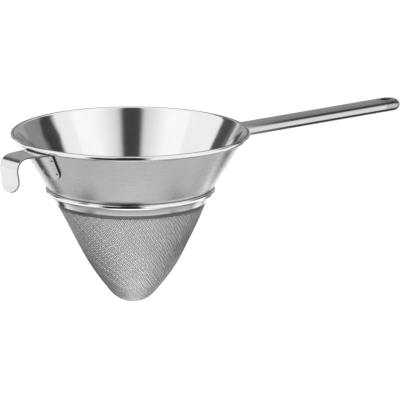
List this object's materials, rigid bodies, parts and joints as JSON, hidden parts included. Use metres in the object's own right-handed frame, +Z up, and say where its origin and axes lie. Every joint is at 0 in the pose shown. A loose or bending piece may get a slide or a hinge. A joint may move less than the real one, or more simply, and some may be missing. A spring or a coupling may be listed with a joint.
{
  "type": "chinois strainer",
  "caption": "Conical steel strainer with a rolled rim, a bag of fine wire cloth under a crimped ring, a flat-oval handle with a hanging hole and a bent support hook.",
  "frame": {"origin": "centre of the rim, at the height of the rim wire's centre line", "axes": "+Z up out of the funnel's mouth, +X along the handle, -X towards the support hook"},
  "size_m": [0.4211, 0.2, 0.1453],
  "materials": {
    "satin_steel": "spun, satin outside and bright inside",
    "wire_steel": "drawn wire",
    "bright_steel": "polished",
    "wire_cloth": "fine woven wire",
    "handle_steel": "brushed lengthwise",
    "weld_steel": "dressed weld",
    "hook_steel": "bright sheet"
  },
  "bodies": {
    "root": {"funnel": "satin_steel", "rim_wire": "wire_steel", "clamp_ring": "bright_steel", "mesh_bag": "wire_cloth", "handle_tube": "handle_steel", "handle_end_cap": "handle_steel", "handle_weld": "weld_steel", "support_hook": "hook_steel"}
  },
  "joints": []
}
